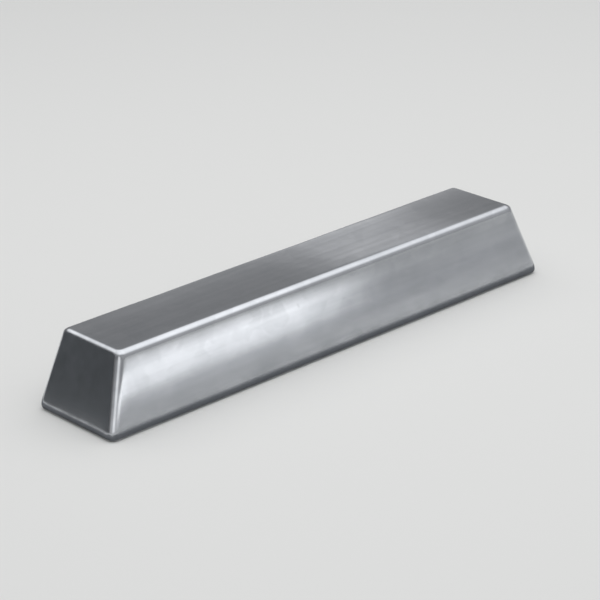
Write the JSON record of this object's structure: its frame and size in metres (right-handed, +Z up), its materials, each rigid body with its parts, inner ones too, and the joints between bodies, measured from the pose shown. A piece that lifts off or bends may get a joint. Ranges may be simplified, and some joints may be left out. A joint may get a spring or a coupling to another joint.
{
  "type": "zinc ingot",
  "caption": "Cast zinc bar with a trapezoid section, sloping sides and ends and rounded edges, lying on its wide face, for stacking and melting down.",
  "frame": {"origin": "middle of the wide face that the bar lies on, at floor level", "axes": "+X along the bar, +Y across it, +Z up from the wide face to the narrow one"},
  "size_m": [0.5, 0.1, 0.07],
  "materials": {
    "cast_zinc": "satin"
  },
  "bodies": {
    "root": {"ingot": "cast_zinc"}
  },
  "joints": []
}
